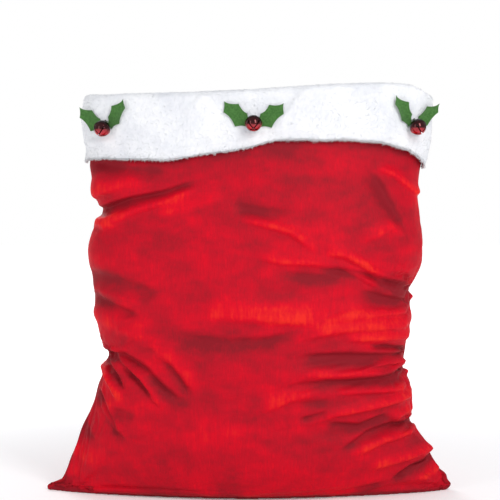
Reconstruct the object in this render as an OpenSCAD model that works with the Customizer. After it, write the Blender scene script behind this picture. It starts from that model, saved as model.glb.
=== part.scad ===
// Fabric gift sack: two velour panels sewn at the sides and the bottom, a plush cuff turned down
// over the mouth, and three ornaments on the cuff, each of two felt holly leaves and a jingle bell.
// Millimetres. +Z is up, the front faces -Y, and the origin is on the floor under the middle.

/* [Sack] */
// Height of the mouth at its highest point
sack_height = 900; // [800:10:1000]
// Width across the two bottom corners
corner_width = 890; // [800:10:1000]
// Half the depth of the filled sack at its belly
belly = 160; // [140:5:190]
// Thickness of the velour
velour = 3; // [2:0.5:4]
// Width of the seam allowance that stands inside the sack
allowance = 10; // [8:1:16]

/* [Cuff] */
// Thickness of the plush
plush = 5; // [4:0.5:6]
// Length of the cuff's facing inside the mouth
facing = 40; // [30:5:60]

/* [Ornaments] */
// Radius of a jingle bell
bell_r = 17.5; // [15:0.5:18]
// Wall of the bell's two pressed halves
bell_wall = 0.9; // [0.8:0.1:1.2]
// Lean of the hanging bell out of the cuff's plane, in degrees
bell_lean = 45; // [40:1:50]
// Distance from the middle of an ornament to the tip of a holly leaf
leaf_reach = 80; // [70:1:85]
// Thickness of the felt
felt = 2; // [1.5:0.5:2.5]

/* [Hidden] */
SPOTS = [
    // name, place across the cuff, height, turn of each leaf from the horizontal
    ["left", -303, 799, [145, 57]],
    ["middle", 12, 808, [142, 35]],
    ["right", 354, 802, [122, 37]]
];
PIECES = [
    "holly_leaf_a", "holly_leaf_b", "holly_stitches",
    "bell_tie", "bell_loop", "bell_cap", "bell_bowl", "bell_pellet"
];

kx = corner_width / 890;
ky = belly / 160;
kz = sack_height / 900;

seam_half = 1.5;
corner_z = 14;
rim_drop = 9;
rim_level = 880;
steps = 28;
FRONT = -1;
BACK = 1;

// Where the two side seams run, as [height, place across the sack].
LEFT_SIDE = [
    [0, -430], [8, -445], [24, -416], [50, -400], [100, -382], [140, -370], [195, -343],
    [236, -331], [302, -310], [342, -325], [400, -336], [450, -339], [528, -352], [568, -345],
    [621, -321], [660, -334], [713, -347], [728, -347],
    [752, -339], [800, -348], [845, -349], [900, -326]
];
RIGHT_SIDE = [
    [0, 432], [8, 445], [30, 436], [75, 410], [110, 392], [155, 361], [195, 362], [235, 358],
    [275, 344], [340, 350], [400, 357], [449, 357], [502, 379], [555, 382], [620, 373],
    [660, 371], [713, 377], [780, 388], [900, 394]
];
// Half the depth, as [height, depth], and how square the outline is, as [height, exponent].
HALF_DEPTH = [
    [0, 104], [10, 124], [30, 140], [80, 152], [200, 160], [400, 157], [600, 138],
    [750, 108], [800, 102], [900, 92]
];
SQUARENESS = [[0, 1.45], [30, 1.45], [60, 1.6], [130, 1.9], [250, 2.3], [400, 2.4], [900, 2.5]];
// The rim and the cuff's lower edge, as [place across the sack, height].
FRONT_RIM = [
    [-336, 874], [-300, 873], [-264, 875], [-100, 879], [0, 884], [110, 891], [190, 896], [340, 896],
    [394, 872]
];
BACK_RIM = [[-336, 874], [-220, 878], [0, 887], [200, 892], [340, 890], [394, 872]];
FRONT_EDGE = [
    [-350, 717], [-332, 731], [-300, 736], [-216, 735], [-150, 735], [-105, 741], [-75, 748],
    [6, 757], [58, 775], [115, 778], [196, 776], [279, 769], [318, 760], [350, 747], [372, 732],
    [394, 712]
];
BACK_EDGE = [[-350, 717], [-200, 748], [0, 742], [220, 754], [394, 712]];
// Heights of the rows of a panel, from the floor to the rim.
ROWS = [
    0, 4, 10, 19, 32, 50, 72, 100, 130, 165, 200, 240, 285, 330, 380, 430, 480, 530, 580,
    630, 680, 728, 752, 790, 842, 860, 880
];

// A smooth curve through the points of a table, flat beyond its ends.
function span(t, x, i = 0) = i >= len(t) - 2 || x < t[i + 1][0] ? i : span(t, x, i + 1);
function slope(t, i) =
    let (a = max(i - 1, 0), b = min(i + 1, len(t) - 1))
    (t[b][1] - t[a][1]) / (t[b][0] - t[a][0]);
function curve(t, place) =
    let (
        x = max(t[0][0], min(t[len(t) - 1][0], place)),
        i = span(t, x),
        h = t[i + 1][0] - t[i][0],
        u = (x - t[i][0]) / h
    )
    t[i][1] * (1 + 2 * u) * pow(1 - u, 2) + t[i + 1][1] * u * u * (3 - 2 * u)
    + h * slope(t, i) * u * pow(1 - u, 2) - h * slope(t, i + 1) * u * u * (1 - u);

// The outline at one height: middle, half width, half depth and exponent, grown by off.
function left_x(z) = kx * curve(LEFT_SIDE, z / kz);
function right_x(z) = kx * curve(RIGHT_SIDE, z / kz);
function squareness(z) = curve(SQUARENESS, z / kz);
function middle_x(z) = (left_x(z) + right_x(z)) / 2;
function half_width(z, off) = (right_x(z) - left_x(z)) / 2 + off;
function half_depth(z, off) = ky * curve(HALF_DEPTH, z / kz) + off;
function outline(z, off, t, side) =
    let (n = squareness(z), c = cos(t), s = sin(t))
    [
        middle_x(z) - half_width(z, off) * sign(c) * pow(abs(c), 2 / n),
        side * (seam_half + half_depth(z, off) * pow(abs(s), 2 / n)),
        z
    ];
function mouth_x(t) = outline(kz * rim_level, 0, t, FRONT)[0] / kx;
function rim_z(t, side) = kz * curve(side == FRONT ? FRONT_RIM : BACK_RIM, mouth_x(t));
function edge_z(t, side) = kz * curve(side == FRONT ? FRONT_EDGE : BACK_EDGE, mouth_x(t));

// A closed solid through sections. Each section is a pair of lines of points, one for each face
// of a sheet, and the two ends are closed by a strip between them.
module loft(sections, flip = false) {
    n = len(sections);
    k = len(sections[0][0]);
    m = 2 * k;
    function loop(pair) = concat(pair[0], [for (j = [k - 1:-1:0]) pair[1][j]]);
    sides = [for (i = [0:n - 2], j = [0:m - 1])
        let (a = i * m + j, b = i * m + (j + 1) % m) [a, b, b + m, a + m]];
    first = [for (j = [0:k - 2]) [j + 1, j, m - 1 - j, m - 2 - j]];
    last = [for (q = first) [for (j = [3:-1:0]) q[j] + (n - 1) * m]];
    quads = concat(sides, first, last);
    triangles = [for (q = quads, h = [0, 1]) h == 0 ? [q[0], q[1], q[2]] : [q[0], q[2], q[3]]];
    turned = flip ? [for (f = triangles) [f[0], f[2], f[1]]] : triangles;
    polyhedron(points = [for (s = sections, p = loop(s)) p], faces = turned);
}

// One panel: its half of the flat bottom, then the wall up to just under the rim.
function row_z(t, side, row) =
    let (top = rim_z(t, side) - rim_drop)
    kz * row + (top - kz * rim_level) * pow(row / rim_level, 3);
function inset(z) = velour + 8 * (2.6 - squareness(z));
function wall_point(t, side, row) = outline(row_z(t, side, row), 0, t, side);
function lining_point(t, side, row) =
    let (
        z = max(row_z(t, side, row), velour),
        p = outline(z, -velour, t, side),
        m = middle_x(z),
        w = half_width(z, 0)
    )
    [m + (p[0] - m) * (w - inset(z)) / (w - velour), p[1], p[2]];
function panel_section(t, side) =
    let (foot = wall_point(t, side, 0), base = lining_point(t, side, 0))
    [
        concat([[foot[0], side * seam_half, 0]], [for (row = ROWS) wall_point(t, side, row)]),
        concat(
            [[base[0], side * seam_half, velour]],
            [for (row = ROWS) lining_point(t, side, row)]
        )
    ];
module panel(side) {
    ends = 0.4;
    sections = [for (i = [0:steps])
        panel_section(ends + (180 - 2 * ends) * i / steps, side)];
    color("crimson") loft(sections, side == BACK);
}

// The seam allowances, a flat strip between the two panels.
module seam_strip(points) {
    color("firebrick")
        translate([0, seam_half, 0])
            rotate([90, 0, 0])
                linear_extrude(height = 2 * seam_half) polygon(points);
}
module side_seam(right) {
    top = rim_z(right ? 180 : 0, FRONT) - facing - 2;
    levels = [for (row = ROWS) if (row * kz > corner_z + 4 && row * kz < top - 10) row * kz];
    heights = concat([corner_z], levels, [top]);
    turn = right ? -1 : 1;
    outer = [for (z = heights) [right ? right_x(z) : left_x(z), z]];
    inner = [for (k = [len(heights) - 1:-1:0])
        outer[k] + [turn * (inset(heights[k]) + allowance), 0]];
    seam_strip(concat(outer, inner));
}
module bottom_seam() {
    heights = [0, 4, 8, corner_z];
    seam_strip(concat(
        [for (z = heights) [left_x(z), z]],
        [for (k = [len(heights) - 1:-1:0]) [right_x(heights[k]), heights[k]]]
    ));
}

// The cuff's section, as [distance out from the panel's face, depth below the rim]: the facing
// inside, the rolled rim, and the flap outside. Each line runs along one face of the plush.
gap_in = -velour - 2;
gap_out = 6;
FLAP_SHARES = [0.25, 0.5, 0.75, 1];
function flap_lean(share) = 4 * share;
function cuff_lines(length) = [
    concat(
        [[gap_in, facing], [gap_in, 27], [gap_in, 14], [gap_in + 1, 9], [gap_in + 3, 6.5],
         [gap_out - 4, 6], [gap_out - 1, 10]],
        [for (s = FLAP_SHARES) [gap_out + flap_lean(s), length * s]]
    ),
    concat(
        [[gap_in - plush, facing], [gap_in - plush, 26], [gap_in - plush, 10],
         [gap_in - plush + 3, 3], [gap_in + 2, 0.4], [gap_out - 2, 0], [gap_out + plush - 1, 6]],
        [for (s = FLAP_SHARES) [gap_out + plush + flap_lean(s), length * s]]
    )
];
function cuff_section(t, side) =
    let (rim = rim_z(t, side), length = rim - edge_z(t, side))
    [for (line = cuff_lines(length))
        [for (p = line)
            let (q = outline(rim - p[1], p[0], t, side))
            [q[0], q[1] - side * seam_half, q[2]]]];
module cuff(side) {
    color("white") loft([for (i = [0:steps]) cuff_section(180 * i / steps, side)], side == FRONT);
}

// The line of thread that holds the facing to the panels.
stitch_r = 0.8;
module mouth_stitching() {
    rings = 72;
    sides = 8;
    off = gap_in - plush - stitch_r - 0.9;
    function ring(i) =
        let (
            a = 360 * (i % rings) / rings,
            side = a < 180 ? FRONT : BACK,
            t = a < 180 ? a : 360 - a,
            p = outline(rim_z(t, side) - facing + 4, off, t, side),
            out = [-cos(t), side * sin(t), 0]
        )
        [for (j = [0:sides - 1])
            [p[0], p[1] - side * seam_half, p[2]]
            + stitch_r * (cos(360 * j / sides) * out + [0, 0, sin(360 * j / sides)])];
    points = [for (i = [0:rings - 1], p = ring(i)) p];
    faces = [for (i = [0:rings - 1], j = [0:sides - 1], h = [0, 1])
        let (
            a = i * sides + j,
            b = i * sides + (j + 1) % sides,
            c = ((i + 1) % rings) * sides + (j + 1) % sides,
            d = ((i + 1) % rings) * sides + j
        )
        h == 0 ? [a, c, b] : [a, d, c]];
    color("gainsboro") polyhedron(points, faces);
}

// The cuff's outer face on the front, and the frame in which an ornament is made: -Y looks out
// of the cuff, X runs along it and Z up it.
function face_off(x, z) =
    let (
        rim = kz * curve(FRONT_RIM, x / kx),
        edge = kz * curve(FRONT_EDGE, x / kx),
        share = (rim - z) / (rim - edge)
    )
    gap_out + plush + flap_lean(share);
function face_y(x, z) =
    let (
        off = face_off(x, z),
        n = squareness(z),
        r = abs(x - middle_x(z)) / half_width(z, off)
    )
    -half_depth(z, off) * pow(max(1 - pow(r, n), 0), 1 / n);
probe = 4;
function across(x, z) = (face_y(x + probe, z) - face_y(x - probe, z)) / (2 * probe);
function upward(x, z) = (face_y(x, z + probe) - face_y(x, z - probe)) / (2 * probe);
function spot_turn(x, z) =
    let (a = across(x, z), u = upward(x, z))
    [-atan(u / sqrt(1 + a * a)), 0, atan(a)];
module at_spot(s) {
    x = kx * s[1];
    z = kz * s[2];
    translate([x, face_y(x, z), z]) rotate(spot_turn(x, z)) children();
}

// A holly leaf lies flat. Its outline runs from the sewn base by its spikes to the tip and back,
// as shares of its reach from the ornament's middle, with hollow scallops between the spikes.
LEAF_INNER = [[0.1, -0.03], [0.19, -0.05], [0.32, -0.13], [0.65, -0.19], [1, 0]];
LEAF_OUTER = [[0.83, 0.24], [0.35, 0.35], [0.1, 0.16]];
leaf_stand = 0.6;
stitch_bar = 0.6;
stitch_stand = 0.9;
leaf_start = 7;
scallop = 0.035;
function scallop_points(a, b) =
    let (d = b - a, inward = [-d[1], d[0]] / norm(d), n = 6, deep = norm(d) > 0.3 ? scallop : 0)
    [for (k = [0:n - 1]) let (u = k / n) a + u * d + 4 * u * (1 - u) * deep * inward];
module leaf() {
    corners = concat(LEAF_INNER, LEAF_OUTER);
    edge = [for (k = [0:len(corners) - 2]) each scallop_points(corners[k], corners[k + 1])];
    color("forestgreen")
        linear_extrude(height = felt)
            polygon([for (p = concat(edge, [corners[len(corners) - 1]])) leaf_reach * p]);
}
// The outer side of a leaf is the one away from its neighbour, so the second leaf is mirrored.
module leaf_frame(s, which) {
    translate([0, -leaf_stand, 0])
        rotate([90, 0, 0])
            rotate([0, 0, s[3][which]])
                scale([1, which == 0 ? 1 : -1, 1])
                    children();
}
module leaf_stitches(s) {
    color("darkgreen")
        for (which = [0, 1])
            leaf_frame(s, which)
                translate([leaf_start, leaf_reach * 0.065, stitch_stand - leaf_stand])
                    rotate([90, 0, 0])
                        cylinder(h = leaf_reach * 0.17, r = stitch_bar, center = true, $fn = 24);
}

// The jingle bell, in its own frame: loop on top along Z, slots underneath.
loop_ring = 3.6;
loop_wire = 1.1;
loop_rise = 3;
tie_r = 0.7;
tie_half = 2.4;
tie_play = 0.1;
flange = 0.8;
bell_clear = 1;
slot_width = 2.4;
slot_top = -5.5;
slot_hole_r = 1.8;
pellet_r = 3.5;
hang = bell_r + loop_rise + loop_ring - loop_wire - tie_r - tie_play;
bell_out = bell_r + flange + leaf_stand + felt + bell_clear;
tie_out = bell_out - hang * sin(bell_lean);
// The middle of the bell and the bar of its tie, in the ornament's frame.
bell_middle = [0, -bell_out, 0];
tie_bar = [0, -tie_out, hang * cos(bell_lean)];

module at_bell() {
    translate(bell_middle) rotate([-bell_lean, 0, 0]) children();
}
module half_shell(up) {
    difference() {
        union() {
            intersection() {
                sphere(r = bell_r, $fn = 96);
                translate([-2 * bell_r, -2 * bell_r, up ? 0 : -4 * bell_r]) cube(4 * bell_r);
            }
            translate([0, 0, up ? 0 : -1]) cylinder(h = 1, r = bell_r + flange, $fn = 96);
        }
        sphere(r = bell_r - bell_wall, $fn = 96);
    }
}
module bell_cap() {
    color("darkred") half_shell(true);
}
module bell_bowl() {
    color("darkred")
        difference() {
            half_shell(false);
            for (turn = [45, 135])
                rotate([0, 0, turn]) {
                    translate([-2 * bell_r, -slot_width / 2, -2 * bell_r])
                        cube([4 * bell_r, slot_width, 2 * bell_r + slot_top]);
                    translate([0, 0, slot_top])
                        rotate([0, 90, 0])
                            cylinder(h = 4 * bell_r, r = slot_hole_r, center = true, $fn = 32);
                }
        }
}
module bell_loop() {
    color("darkred")
        difference() {
            translate([0, 0, bell_r + loop_rise])
                rotate([0, 90, 0])
                    rotate_extrude($fn = 48)
                        translate([loop_ring, 0]) circle(r = loop_wire, $fn = 24);
            sphere(r = bell_r, $fn = 96);
        }
}
module bell_pellet() {
    drop = bell_r - bell_wall - pellet_r - 0.3;
    color("silver") translate(bell_middle - [0, 0, drop]) sphere(r = pellet_r, $fn = 48);
}
// A staple of thread: a bar through the bell's loop and two legs back to the cuff.
module bell_tie() {
    foot = 0.8;
    color("gainsboro")
        translate(tie_bar) {
            rotate([0, 90, 0]) cylinder(h = 2 * tie_half, r = tie_r, center = true, $fn = 24);
            for (x = [-tie_half, tie_half])
                translate([x, 0, 0]) {
                    sphere(r = tie_r, $fn = 24);
                    rotate([-90, 0, 0]) cylinder(h = tie_out - foot, r = tie_r, $fn = 24);
                }
        }
}

panel(FRONT);  // front_panel
panel(BACK);  // back_panel
side_seam(false);  // side_seam_left
side_seam(true);  // side_seam_right
bottom_seam();
cuff(FRONT);  // cuff_front
cuff(BACK);  // cuff_back
mouth_stitching();
for (s = SPOTS) {
    at_spot(s) leaf_frame(s, 0) leaf();
    at_spot(s) leaf_frame(s, 1) leaf();
    at_spot(s) leaf_stitches(s);
    at_spot(s) bell_tie();
    at_spot(s) at_bell() bell_loop();
    at_spot(s) at_bell() bell_cap();
    at_spot(s) at_bell() bell_bowl();
    at_spot(s) bell_pellet();
}
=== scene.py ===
"""A large velour gift sack with a plush cuff, felt holly leaves and jingle bells.

The sack's form is worked out in millimetres, in the same frame as the CAD model.
"""
import math

import bpy
import numpy as np
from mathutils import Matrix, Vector, noise


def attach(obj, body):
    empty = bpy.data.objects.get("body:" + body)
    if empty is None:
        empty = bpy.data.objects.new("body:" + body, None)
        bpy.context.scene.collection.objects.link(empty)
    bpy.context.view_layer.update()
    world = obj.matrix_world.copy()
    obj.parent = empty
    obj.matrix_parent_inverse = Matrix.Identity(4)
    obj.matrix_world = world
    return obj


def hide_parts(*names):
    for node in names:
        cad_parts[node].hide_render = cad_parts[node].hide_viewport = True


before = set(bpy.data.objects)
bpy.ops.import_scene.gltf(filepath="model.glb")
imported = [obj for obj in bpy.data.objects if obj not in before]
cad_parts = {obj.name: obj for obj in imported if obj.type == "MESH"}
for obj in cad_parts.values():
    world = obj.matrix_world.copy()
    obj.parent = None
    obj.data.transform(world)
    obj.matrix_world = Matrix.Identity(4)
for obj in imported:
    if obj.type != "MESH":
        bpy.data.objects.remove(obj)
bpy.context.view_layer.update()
MM = 0.001
FRONT, BACK = -1, 1
SKEW = 0.45  # how much gentler a fold is above its line than below it
FOLD_DEPTH = 1.45  # the depths of all folds are multiplied by this

# ---- The sack's form, in millimetres. The same facts as the CAD model's, apart from the little
# knobs at the bottom corners.
# Where the two side seams run, as (height, place across the sack).
LEFT_SIDE = [
    (0, -438), (4, -445), (11, -445), (16, -437), (22, -419), (30, -412), (50, -403),
    (75, -394), (100, -383), (140, -370), (195, -343), (236, -331), (302, -310),
    (342, -325), (400, -336), (450, -339), (528, -352), (568, -345), (621, -321), (660, -334),
    (713, -347), (728, -347), (752, -339), (800, -348), (845, -349), (900, -326),
]
RIGHT_SIDE = [
    (0, 440), (6, 448), (14, 451), (22, 445), (35, 441), (46, 427), (75, 410), (110, 392),
    (155, 361), (195, 362), (235, 358), (275, 344), (340, 350), (400, 357), (449, 357),
    (502, 379), (555, 382), (620, 373), (660, 371), (713, 377), (780, 388), (900, 394),
]
# Half the depth, and how square the outline is, by height.
HALF_DEPTH = [
    (0, 104), (10, 124), (30, 140), (80, 152), (200, 160), (400, 157), (600, 138),
    (750, 108), (800, 102), (900, 92),
]
SQUARENESS = [(0, 1.45), (30, 1.45), (60, 1.6), (130, 1.9), (250, 2.3), (400, 2.4), (900, 2.5)]
# The rim and the cuff's lower edge, by place across the sack.
RIM = {
    FRONT: [(-336, 874), (-300, 873), (-264, 875), (-100, 879), (0, 884), (110, 891), (190, 896),
            (340, 896), (394, 872)],
    BACK: [(-336, 874), (-220, 878), (0, 887), (200, 892), (340, 890), (394, 872)],
}
EDGE = {
    FRONT: [(-350, 717), (-332, 731), (-300, 736), (-216, 735), (-150, 735), (-105, 741),
            (-75, 748), (6, 757), (58, 775), (115, 778), (196, 776), (279, 769), (318, 760),
            (350, 747), (372, 732), (394, 715)],
    BACK: [(-350, 717), (-332, 735), (-200, 748), (0, 742), (220, 754), (378, 742), (394, 716)],
}
# The front cuff's creases: from and to (place, height), width and depth.
CREASES = [
    (120, 878, 62, 800, 9, 8.0), (-86, 874, -122, 840, 9, 5.0), (234, 866, 278, 875, 8, 5.0),
    (-352, 768, -290, 772, 8, 4.0), (150, 852, 172, 862, 12, 2.5), (-215, 836, -175, 872, 12, 2.5),
]
RIM_LEVEL = 880  # the height at which places round the mouth are measured
FACING = 40  # length of the cuff's facing inside the mouth
OUTLINE_STEPS = 241  # how finely half an outline is followed
# Each ornament: place across the cuff, height, and the turn of each leaf from the horizontal.
SPOTS = {
    "left": (-303, 799, (145, 57)),
    "middle": (12, 808, (142, 35)),
    "right": (354, 802, (122, 37)),
}


def curve(table, x):
    """A smooth curve through the points of a table, flat beyond its ends."""
    xs, ys = np.array(table, float).T
    last = len(xs) - 1
    k = np.arange(last + 1)
    a, b = np.maximum(k - 1, 0), np.minimum(k + 1, last)
    slope = (ys[b] - ys[a]) / (xs[b] - xs[a])
    x = np.clip(x, xs[0], xs[-1])
    i = np.clip(np.searchsorted(xs, x, side="right") - 1, 0, last - 1)
    h = xs[i + 1] - xs[i]
    u = (x - xs[i]) / h
    return (
        ys[i] * (1 + 2 * u) * (1 - u) ** 2
        + ys[i + 1] * u * u * (3 - 2 * u)
        + h * slope[i] * u * (1 - u) ** 2
        - h * slope[i + 1] * u * u * (1 - u)
    )


def outline(z, t, side, off=0.0):
    """Points of the outline at height z. t runs from 0 at the left seam to pi at the right."""
    left, right = curve(LEFT_SIDE, z), curve(RIGHT_SIDE, z)
    n = curve(SQUARENESS, z)
    c, s = np.cos(t), np.sin(t)
    x = (left + right) / 2 - ((right - left) / 2 + off) * np.sign(c) * np.abs(c) ** (2 / n)
    y = side * (curve(HALF_DEPTH, z) + off) * np.abs(s) ** (2 / n)
    return x, y


def by_length(z, share, side, off=0.0):
    """Points at these shares of the half outline's length, so that the threads run evenly."""
    t = np.linspace(0, math.pi, OUTLINE_STEPS)
    x, y = outline(z, t, side, off)
    run = np.concatenate([[0], np.cumsum(np.hypot(np.diff(x), np.diff(y)))])
    s = np.asarray(share) * run[-1]
    return np.interp(s, run, x), np.interp(s, run, y)


# ---- Meshes
def new_object(name, points, faces, uvs=None, smooth=True):
    mesh = bpy.data.meshes.new(name)
    mesh.from_pydata([tuple(p) for p in points], [], [tuple(f) for f in faces])
    if uvs is not None:
        layer = mesh.uv_layers.new(name="cloth")
        order = np.array([v for f in faces for v in f])
        layer.data.foreach_set("uv", np.asarray(uvs, float)[order].ravel())
    mesh.polygons.foreach_set("use_smooth", [smooth] * len(mesh.polygons))
    mesh.update()
    obj = bpy.data.objects.new(name, mesh)
    bpy.context.scene.collection.objects.link(obj)
    return obj


def thicken(obj, name, thickness, offset=0):
    """Gives a sheet its thickness. Offset is -1 for all of it behind the sheet."""
    made = obj.modifiers.new(name, "SOLIDIFY")
    made.thickness, made.offset = thickness, offset
    return made


def grid_faces(rows, cols, flip=False, wrap=False):
    span = cols if wrap else cols - 1
    faces = []
    for j in range(rows - 1):
        for i in range(span):
            k = (i + 1) % cols
            f = (j * cols + i, j * cols + k, (j + 1) * cols + k, (j + 1) * cols + i)
            faces.append(f[::-1] if flip else f)
    return faces


def grid_normals(p, outward):
    """Unit normals of a grid of points (rows, cols, 3), turned to the side given."""
    du = np.gradient(p, axis=1)
    dv = np.gradient(p, axis=0)
    n = np.cross(du, dv) * outward
    size = np.linalg.norm(n, axis=2, keepdims=True)
    return n / np.maximum(size, 1e-9)


def wander(points, scale, seed):
    """Smooth noise from -1 to 1 at each point."""
    where = np.asarray(points).reshape(-1, 3) / scale + seed * 7.31
    return np.array([noise.noise(Vector(w)) for w in where]).reshape(np.shape(points)[:-1]) * 1.6


# ---- The folds of the front, as lines of (place across, height) in millimetres. Each has a width
# and a depth at its start and its end: a ridge is above 0 and a valley below.
FRONT_FOLDS = [
    # under the cuff, top left
    ([(-325, 725), (-255, 712), (-165, 706)], (14, 14), (-7, -3)),
    # from the upper left pinch, rising to the right
    ([(-322, 622), (-255, 648), (-175, 665), (-135, 680), (-85, 692)], (9, 7), (-13, -4)),
    ([(-310, 592), (-230, 628), (-165, 648), (-85, 684)], (15, 9), (8, 4)),
    ([(-205, 618), (-125, 634), (-70, 650), (-35, 668)], (16, 14), (5, 3)),
    ([(-330, 660), (-270, 680), (-200, 690)], (18, 16), (7, 2)),
    # across the upper middle
    ([(-45, 636), (25, 626), (100, 620)], (16, 14), (-5, -2)),
    ([(-35, 612), (35, 596), (90, 580), (120, 557), (155, 535)], (10, 9), (6, 7)),
    # ridges that gather towards the right pinch
    ([(5, 532), (70, 516), (135, 514), (195, 510)], (9, 9), (5, 6)),
    ([(150, 536), (205, 530), (250, 506), (305, 462)], (8, 8), (6, 8)),
    ([(185, 513), (230, 490), (290, 458)], (7, 7), (5, 7)),
    ([(120, 498), (205, 500), (270, 484), (352, 450)], (9, 8), (-4, -13)),
    ([(225, 457), (285, 441), (345, 428)], (13, 12), (-3, -9)),
    ([(60, 492), (140, 487), (220, 470)], (14, 12), (-4, -3)),
    # the bulge at the upper right
    ([(228, 560), (270, 570), (305, 590), (350, 560)], (14, 12), (4, 6)),
    ([(268, 720), (315, 700), (362, 662)], (9, 9), (6, 7)),
    ([(250, 722), (288, 672), (325, 605), (350, 548)], (14, 12), (-6, -5)),
    # left middle
    ([(-328, 432), (-270, 411), (-228, 396)], (13, 12), (-8, -6)),
    ([(-330, 482), (-230, 456), (-180, 440)], (24, 24), (-6, -5)),
    ([(-330, 455), (-270, 438), (-215, 425)], (14, 12), (3, 3)),
    ([(-335, 395), (-270, 370), (-200, 350)], (22, 20), (2, 5)),
    # the belly's broad ridge and the deep valley under it
    ([(-115, 412), (5, 401), (180, 390)], (22, 18), (6, 8)),
    ([(-190, 366), (-110, 352), (-40, 346), (40, 350), (120, 374)], (24, 12), (-3, -8)),
    ([(82, 350), (155, 366), (220, 376), (330, 376)], (13, 15), (7, 8)),
    ([(150, 395), (250, 402), (335, 408)], (12, 12), (5, 6)),
    ([(200, 352), (280, 350), (340, 350)], (10, 12), (5, 7)),
    # from the lower right pinch
    ([(75, 304), (130, 315), (220, 316), (340, 306)], (16, 9), (-6, -11)),
    ([(255, 334), (300, 332), (345, 322)], (6, 7), (-4, -9)),
    ([(265, 290), (300, 296), (340, 292)], (8, 8), (4, 7)),
    ([(85, 280), (175, 275), (300, 275)], (12, 8), (5, 6)),
    ([(345, 282), (310, 261), (250, 260), (165, 260), (105, 255), (45, 236)], (7, 12), (-13, -3)),
    ([(10, 193), (90, 225), (165, 242)], (14, 12), (4, 5)),
    ([(105, 213), (185, 220)], (10, 10), (-4, -3)),
    ([(170, 238), (260, 240), (330, 238)], (10, 10), (4, 6)),
    # the fan above the right corner
    ([(110, 165), (185, 190), (280, 205), (345, 218)], (9, 10), (4, 8)),
    ([(105, 178), (180, 196)], (8, 8), (-5, -4)),
    ([(155, 170), (240, 160), (315, 191)], (13, 9), (-6, -8)),
    ([(360, 160), (310, 160), (260, 146), (190, 103)], (8, 9), (-13, -5)),
    ([(300, 176), (350, 180)], (9, 9), (5, 7)),
    ([(352, 138), (290, 128), (220, 98)], (12, 12), (6, 4)),
    ([(250, 65), (330, 80), (402, 92)], (13, 10), (5, 8)),
    ([(305, 28), (355, 60), (405, 82)], (9, 8), (-7, -12)),
    ([(370, 28), (405, 45), (425, 55)], (8, 8), (5, 7)),
    ([(220, 14), (300, 30)], (9, 8), (-4, -4)),
    # the fan from the lower left pinch
    ([(-310, 316), (-265, 314), (-220, 290), (-185, 250), (-150, 222), (-105, 208)],
     (8, 14), (-15, -6)),
    ([(-290, 320), (-225, 272), (-205, 230), (-168, 192)], (7, 9), (6, 4)),
    ([(-272, 300), (-230, 260), (-193, 213)], (6, 7), (-9, -4)),
    ([(-308, 308), (-285, 270), (-268, 233)], (7, 9), (-11, -6)),
    ([(-320, 284), (-295, 245), (-273, 208)], (8, 8), (7, 5)),
    ([(-325, 228), (-305, 190), (-285, 150), (-258, 118)], (8, 8), (-9, -6)),
    ([(-318, 200), (-290, 160), (-270, 135)], (8, 8), (4, 4)),
    ([(-300, 196), (-240, 180)], (16, 16), (-6, -4)),
    ([(-250, 335), (-200, 340), (-135, 275), (-98, 218)], (14, 12), (6, 4)),
    ([(-188, 326), (-150, 275), (-118, 222)], (8, 9), (-5, -4)),
    ([(-372, 160), (-330, 118)], (12, 10), (-6, -3)),
    ([(-392, 95), (-350, 80), (-300, 78)], (16, 20), (4, 2)),
    ([(-425, 18), (-405, 30), (-380, 34)], (10, 12), (-6, -2)),
]
# The back isn't seen: a plainer set of the same kind.
BACK_FOLDS = [
    ([(-322, 622), (-240, 600), (-150, 604), (-60, 620)], (10, 12), (-12, -3)),
    ([(-318, 598), (-220, 572), (-120, 570)], (14, 14), (7, 3)),
    ([(-310, 300), (-240, 330), (-150, 345), (-40, 340)], (10, 16), (-14, -4)),
    ([(-312, 280), (-230, 296), (-120, 300)], (12, 14), (7, 3)),
    ([(-315, 262), (-250, 230), (-190, 180)], (9, 11), (-10, -4)),
    ([(-350, 190), (-290, 150), (-240, 90)], (10, 10), (-8, -4)),
    ([(352, 450), (260, 470), (150, 510), (40, 530)], (9, 14), (-13, -4)),
    ([(352, 430), (250, 440), (130, 470)], (13, 14), (7, 4)),
    ([(345, 282), (260, 300), (150, 300), (20, 330)], (9, 16), (-13, -5)),
    ([(345, 262), (250, 266), (140, 262)], (12, 14), (7, 4)),
    ([(360, 160), (290, 190), (190, 190), (90, 170)], (9, 12), (-12, -4)),
    ([(362, 140), (280, 150), (180, 150)], (12, 12), (6, 4)),
    ([(400, 84), (330, 66), (250, 50)], (10, 10), (-9, -4)),
    ([(-90, 430), (30, 412), (160, 420)], (22, 20), (6, 5)),
    ([(-120, 385), (20, 366), (150, 384)], (20, 20), (-6, -5)),
    ([(-200, 700), (-80, 690), (60, 700)], (16, 16), (-5, -4)),
    ([(200, 690), (290, 660), (360, 610)], (14, 12), (-6, -6)),
]


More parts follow.
